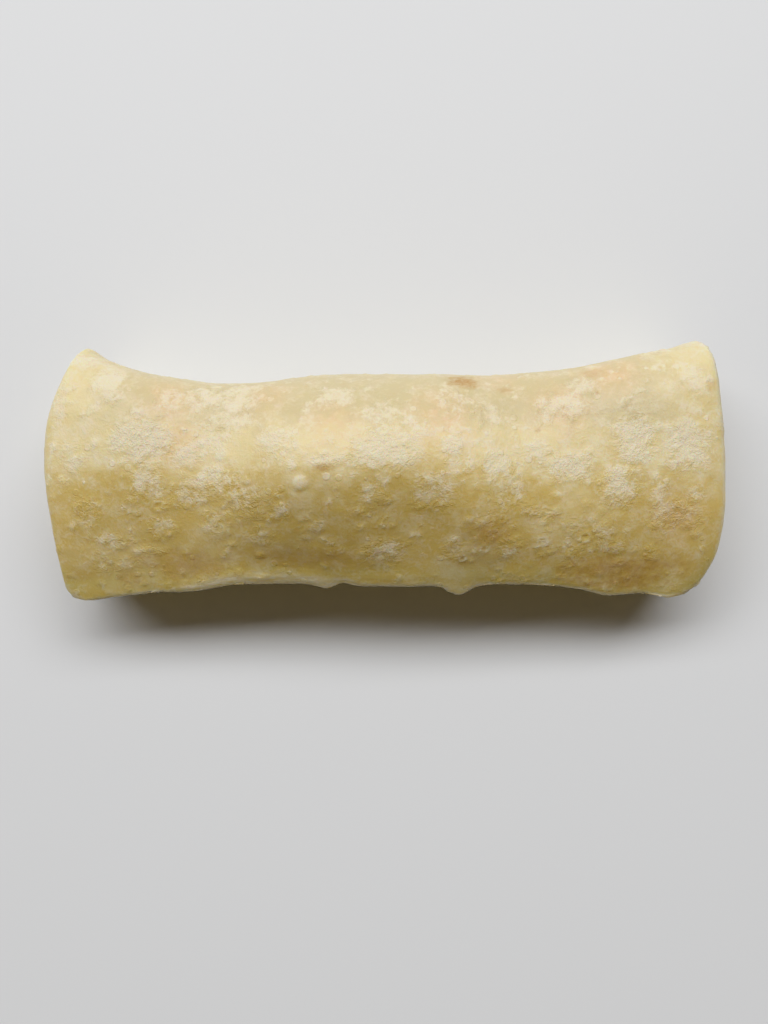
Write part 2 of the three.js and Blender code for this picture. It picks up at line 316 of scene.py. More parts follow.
# ---- Brown spots, and painted shade on the front lip near along 61 and 65: along, across, half length, half width, strength.
TOAST_AND_SHADE_SPOTS = (
    (20, 22.8, 4.6, 4.2, 1),
    (31, 20, 2.4, 1.4, 0.45),
    (54, 25, 3, 2.2, 0.35),
    (54, 19, 0.7, 0.8, 0.6),
    (38, 9, 0.7, 0.6, 0.8),
    (-15, -1, 2.4, 1.1, 0.6),
    (26, -17, 6, 4, 0.5),
    (68, -13, 0.7, 0.6, 0.6),
    (61, -27, 19, 5, 0.62),
    (65, -29.5, 10, 3.5, 0.7),
    (-22, -23.5, 16, 4, 0.3),
    (-52, -26, 13, 5, 0.45),
    (-68, -29, 4.5, 2.4, 0.4),
    (75, -13, 5.5, 3, 0.35),
    (84, 21, 1.6, 2.2, 0.3),
)
TOAST_AND_SHADE_FADE = (0.3, 1.3)
TOAST_AND_SHADE_RAGGED = 0.3
TOAST_AND_SHADE_FINE = 0.5
# Where the dough has a warmer, pinkish tint: along, across, radius, strength.
BLUSHES = (
    (-55, 17, 8, 0.8),
    (-52, 6, 7, 0.9),
    (-31, 18, 8, 0.7),
    (-13, 11, 8, 0.7),
    (14, 12, 10, 0.8),
    (44, 15, 10, 0.7),
    (58, 25, 9, 0.8),
    (75, -13, 8, 0.6),
    (30, 24, 8, 0.5),
)
BLUSH_WIDTH = 0.8
# Painted shade: the back, which faces the window, is darker, from between these places across to between
# these along. The borders wander so far.
BACK_SHADE_START = (6, 15)
BACK_SHADE_START_WANDER = 3
BACK_SHADE_END = (62, 84)
BACK_SHADE_END_WANDER = 5
# Painted shade: the front slope, which faces away from the window, is darker and more golden up to the first
# of these places across, and plain from the second.
SHADED_SLOPE = (-12, 6)
SHADED_WANDER = 6
# The whitish band along the free edge: along, width.
EDGE_BAND = (
    (-88, 0.9), (-62, 1.2), (-50, 2.6), (-40, 3.4), (-17, 3.2), (-8, 1.8), (10, 1.3), (20, 2),
    (30, 1.2), (60, 1.2), (88, 1.6),
)
BAND_FADE = (0.7, 1.5)
BAND_FINE = 0.9
# The band lies in front of this place across, and wrinkles run along its inner side.
BAND_BACK = -10
EDGE_WRINKLE = 0.09
EDGE_WRINKLE_PLACE = 1.1
EDGE_WRINKLE_WIDTH = 1.6
EDGE_WRINKLE_RATE = 4
EDGE_WRINKLE_SKEW = 3
# A painted glow along the rim of the right end, as if light shone through the fold.
END_RIM_GLOW = 0.9
END_RIM_GLOW_FADE = (0.5, 2)

# ---- The dough's finish, with the sizes of its patterns in metres.
MASKS = ("flour", "crinkle", "toast_and_shade", "blush", "tan", "edge", "moist")
CLOUD_SIZE = 0.018
MOTTLE_SIZE = 0.004
GRAIN_SIZE = 0.0009
FIBRE_STRETCH = (0.2, 1, 1)
RIDGE_SIZE = 0.0015
TINY_RIDGE_SIZE = 0.0008
TINY_RIDGE_SHARE = 0.6
BUBBLE_SIZE = 0.0036
WOBBLE_SIZE = 0.003
WOBBLE_REACH = 0.0016
BUMP_HEIGHT = 0.000095
GLOW = 0.5  # the share of the light that goes through the dough
GLOW_REACH = 0.006
GLOW_COLOURS = (1, 0.7, 0.35)

# ---- The stage.
BACKDROP = (0.6, 0.6, 0.6)
FLOOR_ROUGHNESS = 0.6
FLOOR_GAP = 0.00002  # keeps the floor just clear of the underside
CLIP_START = 0.01

# ---- Spacing of the shader nodes in the editor.
COLUMN_WIDTH = 220
ROW_HEIGHT = 260


# ------------------------------------------------------------------ curves and steps
def through(points, x):
    """A smooth curve through the points, read at x."""
    px, py = np.array(points, float).T
    wide_x, wide_y = np.r_[px[0], px, px[-1]], np.r_[py[0], py, py[-1]]
    slope = (wide_y[2:] - wide_y[:-2]) / (wide_x[2:] - wide_x[:-2])
    i = np.clip(np.searchsorted(px, x, side="right") - 1, 0, len(px) - 2)
    span = px[i + 1] - px[i]
    t = np.clip((x - px[i]) / span, 0, 1)
    rise = (1 + 2 * t) * (1 - t) ** 2 * py[i] + t * t * (3 - 2 * t) * py[i + 1]
    return rise + span * t * (1 - t) * ((1 - t) * slope[i] - t * slope[i + 1])


def bell(distance, width):
    """1 at no distance, and falling off softly over this width."""
    return np.exp(-((distance / width) ** 2))


def smoothstep(x, low, high):
    """From 0 below low to 1 above high."""
    t = np.clip((x - low) / (high - low), 0, 1)
    return t * t * (3 - 2 * t)


def fading(x, whole, gone):
    """From 1 below whole to 0 above gone."""
    return smoothstep(-x, -gone, -whole)


def sections(x):
    """The roll's outline at each x, once round from the free edge over the top, the back and the underside.

    Each quarter is part of a superellipse, and the front's top one slopes down to the free edge."""
    back, front = through(BACK_EDGE, x), through(FRONT_EDGE, x)
    widest, lip = through(WIDEST_LEVEL, x), through(LIP_LEVEL, x)
    crest, line = through(CREST_HEIGHT, x), through(CREST_LINE, x)
    angle = np.pi * (1 - 2 * np.linspace(0, 1, OUTLINE_STEPS + 1))[None, :]
    c, s = np.cos(angle), np.sin(angle)
    squareness = np.where(s > 0, through(TOP_SQUARENESS, x), BOTTOM_SQUARENESS)
    middle = np.where(s > 0, line, (back + front) / 2)
    side, level = np.where(c < 0, front, back), np.where(c < 0, lip, widest)
    height = np.where(s > 0, crest - level, level + FLAT_CUT + SINGLE_LAYER)
    bend = through(SLOPE_BEND, x)
    fallen = (np.hypot(c, bend) - bend) / (np.hypot(1, bend) - bend)
    slope = np.maximum(1 - fallen, 0) ** (1 / SLOPE_END)
    on_slope = (s > 0) & (c < 0)
    share = np.where(on_slope, -c, np.abs(c) ** (2 / squareness))
    lifted = np.where(on_slope, slope, np.abs(s) ** (2 / squareness))
    return middle + (side - middle) * share, level + height * np.sign(s) * lifted


class Outline:
    """The roll's outline, tabled along the roll and in even steps round it."""

    def __init__(self):
        self.x = np.linspace(-HALF, HALF, OUTLINE_COLUMNS)
        across, up = sections(self.x[:, None])
        steps = np.hypot(np.diff(across, axis=1), np.diff(up, axis=1))
        run = np.c_[np.zeros(len(self.x)), np.cumsum(steps, axis=1)]
        self.girth = run[:, -1]
        even = np.linspace(0, 1, OUTLINE_STEPS + 1)
        rows = [(even * r[-1], r, a, u) for r, a, u in zip(run, across, up)]
        self.points = np.array([np.c_[np.interp(e, r, a), np.interp(e, r, u)] for e, r, a, u in rows])
        around = np.concatenate([self.points[:, -2:-1], self.points, self.points[:, 1:2]], axis=1)
        tangents = around[:, 2:] - around[:, :-2]
        self.tangents = tangents / np.linalg.norm(tangents, axis=2, keepdims=True)
        self.middle = (through(BACK_EDGE, self.x) + through(FRONT_EDGE, self.x)) / 2
        widest = through(WIDEST_LEVEL, self.x)
        self.tuck_level = widest + (through(CREST_HEIGHT, self.x) - widest) * TUCK_LEVEL

    def along(self, table, x):
        """A value that is tabled along the roll, at x."""
        return np.interp(x, self.x, table)

    def around(self, table, x, turn):
        """A value that is tabled along and round the roll, at x and a share of a turn."""
        row = np.clip((x - self.x[0]) / (self.x[1] - self.x[0]), 0, len(self.x) - 1.001)
        col = np.clip(turn * OUTLINE_STEPS, 0, OUTLINE_STEPS - 0.001)
        i, j = row.astype(int), col.astype(int)
        fi, fj = (row - i)[:, None], (col - j)[:, None]
        low = table[i, j] * (1 - fj) + table[i, j + 1] * fj
        high = table[i + 1, j] * (1 - fj) + table[i + 1, j + 1] * fj
        return low * (1 - fi) + high * fi


# ------------------------------------------------------------------ the wrap
def folded_in(x, turns):
    """Thickness that the folded side adds at x, this many turns in from the free edge."""
    along = smoothstep(np.abs(x), HALF - FOLD_REACH, HALF - FOLD_REACH + FOLD_STEP)
    return (FOLDED_LAYER - SINGLE_LAYER) * along * smoothstep(turns, *FOLD_START)


def layer(x, turns):
    """Thickness of the tortilla with its folded side."""
    return SINGLE_LAYER + folded_in(x, turns)


def wrap_depth(x, turns):
    """How deep the layer's outer face lies below the turn that covers it."""
    return (SINGLE_LAYER + LAYER_GAP) * turns + folded_in(x, turns - 1)


def edge_start(outline, x):
    """How far up the wrap the free edge lies, as a share of a turn."""
    return LIP_CORNER * bell(HALF - np.abs(x), LIP_CORNER_WIDTH) / outline.along(outline.girth, x)


def swell(x, turn):
    """How far the soft lumps stand out."""
    return sum(h * bell(np.hypot(x - along, (turn - at) * GIRTH), r) for along, at, h, r in SWELLS)


def wrap_point(outline, x, turns, depth):
    """Points of the wrap: x along the roll, turns in from the free edge, and depth below the outer face."""
    turn = np.mod(turns, 1)
    point = outline.around(outline.points, x, turn)
    tangent = outline.around(outline.tangents, x, turn)
    inward = np.c_[tangent[:, 1], -tangent[:, 0]]
    share = np.clip(1 - (HALF - np.abs(x)) / CURL_LENGTH, 0, 1)
    curl = CURL_DEPTH * (1 - np.sqrt(1 - share**2))
    curled = curl * (CURL_AT_SIDES + (1 - CURL_AT_SIDES) * np.abs(inward[:, 1]))
    from_edge = turns * outline.along(outline.girth, x)
    lift = through(LIP_LIFT, x) * bell(from_edge, LIFT_FADE)
    point = point + inward * (depth + wrap_depth(x, turns) + curled - swell(x, turn) - lift)[:, None]
    lip = sum(reach * bell(x - at, width) for at, reach, width in LIP_TIPS) * bell(from_edge, LIP_FADE)
    point -= np.c_[lip, LIP_FALL * lip]
    return np.c_[x, point]


def to_ends(point, x):
    """Moves points along the roll, so that its ends have their outlines seen from above."""
    share = np.abs(x / HALF) ** END_BLEND
    right, left = through(RIGHT_END, point[:, 1]) - HALF, through(LEFT_END, point[:, 1]) + HALF
    point[:, 0] += np.where(x > 0, right, left) * share
    return point


def free_edge(outline):
    """Points along the tortilla's free edge."""
    x = np.linspace(-HALF, HALF, 2 * STEPS_ALONG)
    return to_ends(wrap_point(outline, x, edge_start(outline, x), 0), x)


def mapped(bm, place):
    """Moves every vertex of a unit shape to its place, and turns the faces out."""
    unit = np.array([v.co[:] for v in bm.verts])
    for v, co in zip(bm.verts, place(unit)):
        v.co = co
    bm.normal_update()
    bmesh.ops.recalc_face_normals(bm, faces=bm.faces[:])


def tortilla_sheet(outline):
    """The tortilla: a closed flat slab with round folds at both ends, rolled up."""
    bm = bmesh.new()
    across_steps = round(TURNS * STEPS_PER_TURN)
    bmesh.ops.create_grid(bm, x_segments=STEPS_ALONG, y_segments=across_steps, size=1)
    extruded = bmesh.ops.extrude_face_region(bm, geom=bm.faces[:], use_keep_orig=True)
    upper = [v for v in extruded["geom"] if isinstance(v, bmesh.types.BMVert)]
    bmesh.ops.translate(bm, vec=(0, 0, 1), verts=upper)
    walls = [e for e in bm.edges if abs(e.verts[0].co.z - e.verts[1].co.z) > 0.5]
    bmesh.ops.subdivide_edges(bm, edges=walls, cuts=STEPS_THROUGH - 1, use_grid_fill=True)

    def place(unit):
        along, across = unit[:, 0], (unit[:, 1] + 1) / 2 * TURNS
        turns = across + edge_start(outline, along * HALF) * (1 - smoothstep(across, *FOLD_START))
        thickness = layer(along * HALF, turns)
        from_middle = (unit[:, 2] - 0.5) * thickness
        rounded = np.sqrt(np.maximum((thickness / 2) ** 2 - from_middle**2, 0))
        at_fold = np.abs(along) > 1 - NEARLY
        wave = np.sin(WANDER_RATE * turns + WANDER_SKEW * along)
        level = 1 - bell(turns - LEVEL_TURN, LEVEL_SPAN)
        wander = FOLD_WANDER * wave * level * smoothstep(turns, *WANDER_START)
        sunk = INNER_SINK * smoothstep(turns, TURNS - INNER_SINK_TURNS, TURNS)
        flat = HALF - FOLDED_LAYER / 2 + (wander - sunk) * np.abs(along) ** END_BLEND
        x = along * flat + np.where(at_fold, np.sign(along) * rounded, 0)
        drop = np.where(across < NEARLY, rounded / outline.along(outline.girth, x), 0)
        return to_ends(wrap_point(outline, x, np.maximum(turns - drop, 0), from_middle + thickness / 2), x)

    mapped(bm, place)
    return bm


def filled_core(outline):
    """What the sheet is rolled round, and the tucked sides that close the ends."""
    bm = bmesh.new()
    rings = CORE_STEPS_ALONG + 2 * TUCK_RINGS
    cap = TUCK_RINGS / rings
    bmesh.ops.create_uvsphere(bm, u_segments=CORE_STEPS_PER_TURN, v_segments=rings, radius=1)

    def place(unit):
        down = np.arccos(np.clip(unit[:, 2], -1, 1)) / np.pi
        spread = np.minimum(np.minimum(down, 1 - down) / cap, 1)
        unit_x = np.clip((0.5 - down) / (0.5 - cap), -1, 1)
        share = np.mod(np.arctan2(unit[:, 1], unit[:, 0]) / (2 * np.pi), 1)
        x = unit_x * (HALF - TUCK_RECESS)
        turns = LIP_DEPTH / outline.along(outline.girth, x) + edge_start(outline, x) + share
        rim = wrap_point(outline, x, turns, layer(x, turns) / 2)
        middle = np.c_[x, outline.along(outline.middle, x), outline.along(outline.tuck_level, x)]
        point = middle + (rim - middle) * spread[:, None]
        at_end = np.abs(unit_x) > 1 - NEARLY
        point[:, 0] += np.where(at_end, np.sign(x) * tuck(spread, point - middle), 0)
        return to_ends(point, point[:, 0].copy())

    mapped(bm, place)
    return bm


def tuck(spread, from_middle):
    """How far the tucked middle of an end stands out from its rim, with its crease and pulled pleats."""
    across, up = from_middle[:, 1], from_middle[:, 2]
    bulge = TUCK_BULGE * (1 - spread**3)
    line = CREASE_SWING * np.sin(across / CREASE_WAVE)
    crease = CREASE_DEPTH * bell(up - line, CREASE_WIDTH) * (1 - spread**4)
    pleats = 0
    for at, depth in PLEATS:
        along = across * math.cos(at) + up * math.sin(at)
        aside = up * math.cos(at) - across * math.sin(at)
        pleats = pleats + np.where(along > 0, depth * bell(aside, PLEAT_WIDTH), 0)
    return bulge - crease - 4 * pleats * spread**2 * (1 - spread**2)


# ------------------------------------------------------------------ meshes
def object_from(bm, name):
    """A new object in the scene with the bmesh as its mesh."""
    mesh = bpy.data.meshes.new(name)
    bm.to_mesh(mesh)
    bm.free()
    piece = bpy.data.objects.new(name, mesh)
    bpy.context.scene.collection.objects.link(piece)
    return piece


def joined(piece, other):
    """The two closed pieces as one solid, which takes the first one's place."""
    union = piece.modifiers.new("join", "BOOLEAN")
    union.operation = "UNION"
    union.solver = "MANIFOLD"
    union.object = other
    graph = bpy.context.evaluated_depsgraph_get()
    mesh = bpy.data.meshes.new_from_object(piece.evaluated_get(graph))
    piece.modifiers.remove(union)
    piece.data = in_order(mesh)
    bpy.data.objects.remove(other)
    return piece


def ranked(places):
    """Each place's rank, from the lowest up."""
    return np.argsort(np.lexsort(np.round(places, 4).T))


def in_order(mesh):
    """The mesh, sorted by place, because the union leaves its vertices and faces in any order."""
    centres = np.empty(len(mesh.polygons) * 3)
    mesh.polygons.foreach_get("center", centres)
    vertex_rank, face_rank = ranked(coordinates(mesh)), ranked(centres.reshape(-1, 3))
    bm = bmesh.new()
    bm.from_mesh(mesh)
    bm.verts.sort(key=lambda v: vertex_rank[v.index])
    bm.faces.sort(key=lambda f: face_rank[f.index])
    bm.to_mesh(mesh)
    bm.free()
    return mesh


def coordinates(mesh):
    """The vertices' places, one row for each."""
    co = np.empty(len(mesh.vertices) * 3)
    mesh.vertices.foreach_get("co", co)
    return co.reshape(-1, 3)


def normals(mesh):
    """The vertices' normals, one row for each."""
    out = np.empty(len(mesh.vertices) * 3)
    mesh.vertex_normals.foreach_get("vector", out)
    return out.reshape(-1, 3)


def move_to(mesh, co):
    """Puts the vertices at these places."""
    mesh.vertices.foreach_set("co", co.ravel())
    mesh.update()


def soft_contact(points):
    """The points, with the underside flat on the surface below and a soft edge round it."""
    z = points[:, 2]
    points[:, 2] = (z + np.sqrt(z**2 + CONTACT_SOFTNESS**2)) / 2
    return points


def searchable(points):
    """A tree that finds the points near a place."""
    tree = kdtree.KDTree(len(points))
    for i, p in enumerate(points):
        tree.insert(p, i)
    tree.balance()
    return tree


# ------------------------------------------------------------------ the surface
def rough(points, size, octaves=2, offset=0):
    """Smooth noise, from about -1 to 1, with features of this size. Each offset gives another noise."""
    shift = Vector((offset, offset * 0.7, offset * 1.3))
    places = (Vector(p) / size + shift for p in points)
    return np.array([noise.fractal(place, NOISE_FALL, NOISE_STEP, octaves) for place in places])


def cells(points, size):
    """Distance from the creases between rounded cells, from 0 in a crease to 1."""
    out = np.empty(len(points))
    for i, p in enumerate(points):
        near, _ = noise.voronoi(Vector(p) / size)
        out[i] = near[1] - near[0]
    return np.clip(out / CELL_CREASE, 0, 1)


def oval(points, centre, half_length, half_width):
    """Distance from an oval's middle on the surface, as a share of its half sizes."""
    off = points - centre
    return np.hypot(off[:, 0] / half_length, np.hypot(off[:, 1], off[:, 2]) / half_width)


class Skin:
    """The tortilla's surface with its relief and masks, in millimetres."""

    def __init__(self, mesh, seed):
        self.points = coordinates(mesh) / MM
        self.normals = normals(mesh)
        corners = [Vector(p) for p in self.points]
        self.tree = BVHTree.FromPolygons(corners, [p.vertices[:] for p in mesh.polygons])
        self.kd = searchable(self.points)
        self.draw = np.random.default_rng(seed)
        noise.seed_set(seed + 1)  # a seed of 0 would follow the clock
        push = np.array([noise.noise_vector(Vector(p) / WARP_SIZE) for p in self.points])
        self.bent = self.points + WARP_REACH * push
        self.ragged = rough(self.points, RAGGED_SIZE, octaves=3)
        self.fine = rough(self.points, FINE_SIZE, offset=11)
        self.relief = np.zeros(len(self.points))
        self.masks = {name: np.zeros(len(self.points)) for name in MASKS}

    def on_top(self, along, across):
        """The highest point of the surface at this place, seen from above."""
        hit, _, _, _ = self.tree.ray_cast(Vector((along, across, HIGH_UP)), Vector((0, 0, -1)))
        if hit is None:
            raise ValueError(f"nothing lies below {along}, {across}")
        return np.array(hit)

    def within(self, centre, radius):
        """The vertices within this radius, and their distances as shares of it."""
        found = self.kd.find_range(centre, radius)
        index = np.array([i for _, i, _ in found], int)
        away = np.array([d for _, _, d in found]) / radius
        return index, away

    def drawn(self, ranges):
        """A random number from each of these ranges."""
        return [self.draw.uniform(low, high) for low, high in ranges]

    def raise_to(self, name, value, index=slice(None)):
        """Lifts a mask to at least this value."""
        mask = self.masks[name]
        mask[index] = np.maximum(mask[index], value)

    def lift_to(self, height, index):
        """Lifts the relief to at least this height."""
        self.relief[index] = np.maximum(self.relief[index], height)

    def patch(self, centre, half_length, half_width, strength):
        """A floury patch with a wandering soft edge, crowded with small blisters."""
        d = oval(self.bent, centre, half_length, half_width)
        near = np.flatnonzero(d < PATCH_REACH)
        soft = d[near] + PATCH_RAGGED * self.ragged[near] + PATCH_FINE * self.fine[near]
        self.raise_to("flour", strength * fading(soft, *FLOUR_FADE), near)
        self.raise_to("crinkle", strength * fading(soft, *CRINKLE_FADE), near)
        inside = near[soft < CROWD_REACH]
        count = min(len(inside), round(CROWD_SHARE * half_length * half_width))
        for i in self.draw.choice(inside, count):
            self.pimple(self.points[i], *self.drawn(CROWD_RANGES))

    def pimple(self, centre, radius, strength):
        """A small blister, whole or sunk in at its middle."""
        index, away = self.within(centre, radius)
        sunk = self.draw.uniform(*SUNK_RANGE) * min(radius, SUNK_RADIUS)
        lift = (1 - away**2) ** 1.5 - max(sunk, 0) * bell(away, SUNK_WIDTH)
        self.lift_to(PIMPLE_HEIGHT * radius * strength * lift, index)
        self.raise_to("flour", PIMPLE_FLOUR * strength * (1 - away**2), index)
        self.raise_to("crinkle", PIMPLE_CRINKLE * (1 - away**2), index)

    def blister(self, centre, radius, height):
        """A round dome with a crisp edge."""
        index, away = self.within(centre, radius)
        lift = (1 - away**6) ** 0.8
        self.lift_to(height * lift, index)
        self.raise_to("flour", lift, index)

    def ring(self, centre, radius, height):
        """A burst blister: a raised rim round a pit."""
        index, away = self.within(centre, radius * RING_REACH)
        rim = bell(away * RING_REACH - 1, RIM_WIDTH)
        self.relief[index] = height * (rim - PIT_DEPTH * bell(away * RING_REACH, PIT_WIDTH))
        self.raise_to("flour", RIM_FLOUR * rim, index)

    def finish(self, mesh):
        """Moves the mesh's vertices out by the relief, and stores the masks on them."""
        move_to(mesh, (self.points + self.normals * self.relief[:, None]) * MM)
        for name, mask in self.masks.items():
            stored = mesh.attributes.new(name, "FLOAT", "POINT")
            stored.data.foreach_set("value", mask.astype(np.float32))


def floured(skin):
    """The placed patches, those that hardly show, and the small ones all over."""
    for along, across, half_length, half_width, strength in PATCHES:
        skin.patch(skin.on_top(along, across), half_length, half_width, strength)
    x, y, z = skin.points.T
    hidden = np.flatnonzero((z < HIDDEN_BELOW) | (np.abs(x) > HIDDEN_END) | (y > HIDDEN_BACK))
    for i in skin.draw.choice(hidden, HIDDEN_PATCHES, replace=False):
        skin.patch(skin.points[i], *skin.drawn(HIDDEN_RANGES))
    for i in skin.draw.choice(len(skin.points), SMALL_PATCHES, replace=False):
        half_length, half_width, strength = skin.drawn(SMALL_RANGES)
        strength *= 1 - SMALL_FADE * fading(y[i], *SMALL_FADE_SLOPE)
        skin.patch(skin.points[i], half_length, half_width, strength)


def blistered(skin, height):
    """The small blisters, the patches' wrinkles, the placed blisters and the soft unevenness."""
    crowd = rough(skin.points, CROWD_SIZE, offset=5)
    for i in skin.draw.choice(len(skin.points), PIMPLES, replace=False):
        radius = skin.draw.uniform(*PIMPLE_RADIUS)
        if crowd[i] + skin.draw.uniform(*CROWD_CHANCE) > CROWD_LEVEL:
            skin.pimple(skin.points[i], radius, skin.draw.uniform(*PIMPLE_STRENGTH))
    wrinkles = cells(skin.points + WRINKLE_WANDER * skin.fine[:, None], WRINKLE_SIZE)
    skin.relief += skin.masks["crinkle"] * (PATCH_RISE + WRINKLE_HEIGHT * (wrinkles - WRINKLE_MIDDLE))
    for along, across, radius, lift in BLISTERS:
        skin.blister(skin.on_top(along, across), radius, lift)
    for along, across, radius, lift in RINGS:
        skin.ring(skin.on_top(along, across), radius, lift)
    for size, uneven in UNEVEN:
        skin.relief += uneven * rough(skin.points, size, offset=size)
    skin.relief = (skin.relief - SINK) * height * smoothstep(skin.points[:, 2], *GROUND_FADE)


def browned_and_shaded(skin):
    """The brown spots, some of them painted shade on the front lip, the pinkish tint, and painted shade
    along the back and on the front slope.
    """
    for along, across, half_length, half_width, strength in TOAST_AND_SHADE_SPOTS:
        d = oval(skin.points, skin.on_top(along, across), half_length, half_width)
        ragged = d + TOAST_AND_SHADE_FINE * skin.fine + TOAST_AND_SHADE_RAGGED * skin.ragged
        skin.raise_to("toast_and_shade", strength * fading(ragged, *TOAST_AND_SHADE_FADE))
    for along, across, radius, strength in BLUSHES:
        d = oval(skin.points, skin.on_top(along, across), radius, radius)
        skin.raise_to("blush", strength * bell(d, BLUSH_WIDTH))
    x, y, _ = skin.points.T
    # Painted shade along the back.
    along = 1 - smoothstep(np.abs(x) + BACK_SHADE_END_WANDER * skin.ragged, *BACK_SHADE_END)
    skin.raise_to("tan", along * smoothstep(y + BACK_SHADE_START_WANDER * skin.ragged, *BACK_SHADE_START))
    # Painted shade on the front slope, which faces away from the window.
    skin.raise_to("moist", fading(y - SHADED_WANDER * skin.ragged, *SHADED_SLOPE))


def edged(skin, outline, middle):
    """The dry whitish band along the free edge with its wrinkles, and a painted glow along the rim of the
    right end.
    """
    x, y, _ = skin.points.T
    edge = searchable(free_edge(outline) - middle)
    near = np.flatnonzero((y < BAND_BACK) & (skin.normals[:, 2] > 0))
    away = np.array([edge.find(p)[2] for p in skin.points[near]])
    ragged, fine = skin.ragged[near], skin.fine[near]
    width = through(EDGE_BAND, x[near])
    band = fading(away, BAND_FADE[0] * width, BAND_FADE[1] * width)
    skin.masks["edge"][near] = np.clip(band * (1 + BAND_FINE * fine), 0, 1)
    wrinkled = bell(away - EDGE_WRINKLE_PLACE * width, EDGE_WRINKLE_WIDTH)
    wave = np.sin(EDGE_WRINKLE_RATE * away + EDGE_WRINKLE_SKEW * ragged)
    skin.relief[near] += EDGE_WRINKLE * wrinkled * wave * (1 + fine)
    # Painted glow: the right end's rim takes the free edge's pale colour, as if light shone through the
    # fold.
    inside = through(RIGHT_END, y + middle[1]) - middle[0] - x
    skin.raise_to("edge", fading(inside, END_RIM_GLOW_FADE[0] * END_RIM_GLOW, END_RIM_GLOW_FADE[1] * END_RIM_GLOW))


# ------------------------------------------------------------------ settings
class BurritoDough(bpy.types.PropertyGroup):
    """Colours and relief of the tortilla"""

    pale: bpy.props.FloatVectorProperty(
        name="Dough", description="Colour of the plain dough", subtype="COLOR", size=3,
        default=(0.795, 0.685, 0.395), min=0, max=1,
    )
    # Painted shade: this colour darkens the front slope, and the clouds mix a little of it in elsewhere.
    deep: bpy.props.FloatVectorProperty(
        name="Moist dough", description="Colour where the dough is thin and moist", subtype="COLOR", size=3,
        default=(0.68, 0.525, 0.21), min=0, max=1,
    )
    flour: bpy.props.FloatVectorProperty(
        name="Flour", description="Colour of the floury blisters", subtype="COLOR", size=3,
        default=(0.84, 0.768, 0.595), min=0, max=1,
    )
    blush: bpy.props.FloatVectorProperty(
        name="Warm tint", description="Colour where the filling tints the dough", subtype="COLOR", size=3,
        default=(0.8, 0.565, 0.325), min=0, max=1,
    )
    # Painted shade: this colour darkens the back, which faces the window.
    tan: bpy.props.FloatVectorProperty(
        name="Dull back", description="Colour of the duller dough along the back", subtype="COLOR", size=3,
        default=(0.645, 0.555, 0.335), min=0, max=1,
    )
    # This colour also paints a glow along the right end's rim.
    band_and_rim_glow: bpy.props.FloatVectorProperty(
        name="Free edge", description="Colour of the dry band along the free edge", subtype="COLOR", size=3,
        default=(0.75, 0.66, 0.49), min=0, max=1,
    )
    # This colour also paints shade on the front lip near its right end.
    toast_and_shade: bpy.props.FloatVectorProperty(
        name="Browned spots", description="Colour of the browned spots", subtype="COLOR", size=3,
        default=(0.51, 0.305, 0.11), min=0, max=1,
    )
    blister_height: bpy.props.FloatProperty(
        name="Blister height", description="How far the wrinkled blisters stand out, as a share",
        default=1.0, min=0, max=3,
    )
    seed: bpy.props.IntProperty(
        name="Seed", description="Sets the small blisters' places", default=SEED, min=0
    )


class BurritoStage(bpy.types.PropertyGroup):
    """Floor, light and camera"""

    floor_colour: bpy.props.FloatVectorProperty(
        name="Floor", description="Colour of the floor", subtype="COLOR", size=3,
        default=(0.77, 0.79, 0.82), min=0, max=1,
    )
    floor_size: bpy.props.FloatProperty(
        name="Floor size", description="Side of the floor", default=3.0, min=0.5, unit="LENGTH"
    )
    camera_height: bpy.props.FloatProperty(
        name="Camera height", description="Height of the camera above the floor", default=0.23, min=0.1,
        unit="LENGTH",
    )
    camera_front: bpy.props.FloatProperty(
        name="Camera place", description="How far in front of the roll's middle the camera is",
        default=0.0115, unit="LENGTH",
    )
    camera_side: bpy.props.FloatProperty(
        name="Camera offset", description="How far to the left of the roll's middle the camera is",
        default=0.0005, unit="LENGTH",
    )
    lens: bpy.props.FloatProperty(
        name="Lens", description="Focal length of the camera", default=27.07, min=10, unit="CAMERA"
    )
    window_elevation: bpy.props.FloatProperty(
        name="Window elevation", description="Angle of the window light above the floor",
        default=math.radians(52.5), min=0, max=math.radians(90), subtype="ANGLE",
    )
    window_turn: bpy.props.FloatProperty(
        name="Window turn", description="Angle of the window light to the left of straight behind",
        default=math.radians(8), subtype="ANGLE",
    )
    window_distance: bpy.props.FloatProperty(
        name="Window distance", description="From the roll to the window light", default=3.0, min=0.2,
        unit="LENGTH",
    )
    window_width: bpy.props.FloatProperty(
        name="Window width", description="Width of the window light", default=5.2, min=0.01, unit="LENGTH"
    )
    window_height: bpy.props.FloatProperty(
        name="Window height", description="Height of the window light", default=1.12, min=0.01, unit="LENGTH"
    )
    window_power: bpy.props.FloatProperty(
        name="Window power", description="Power of the window light", default=124.0, min=0, unit="POWER"
    )
    sky_colour: bpy.props.FloatVectorProperty(
        name="Room colour", description="Colour of the light from all round", subtype="COLOR", size=3,
        default=(1, 0.86, 0.68), min=0, max=1,
    )
    sky_strength: bpy.props.FloatProperty(
        name="Room light", description="Strength of the light from all round", default=0.14, min=0
    )


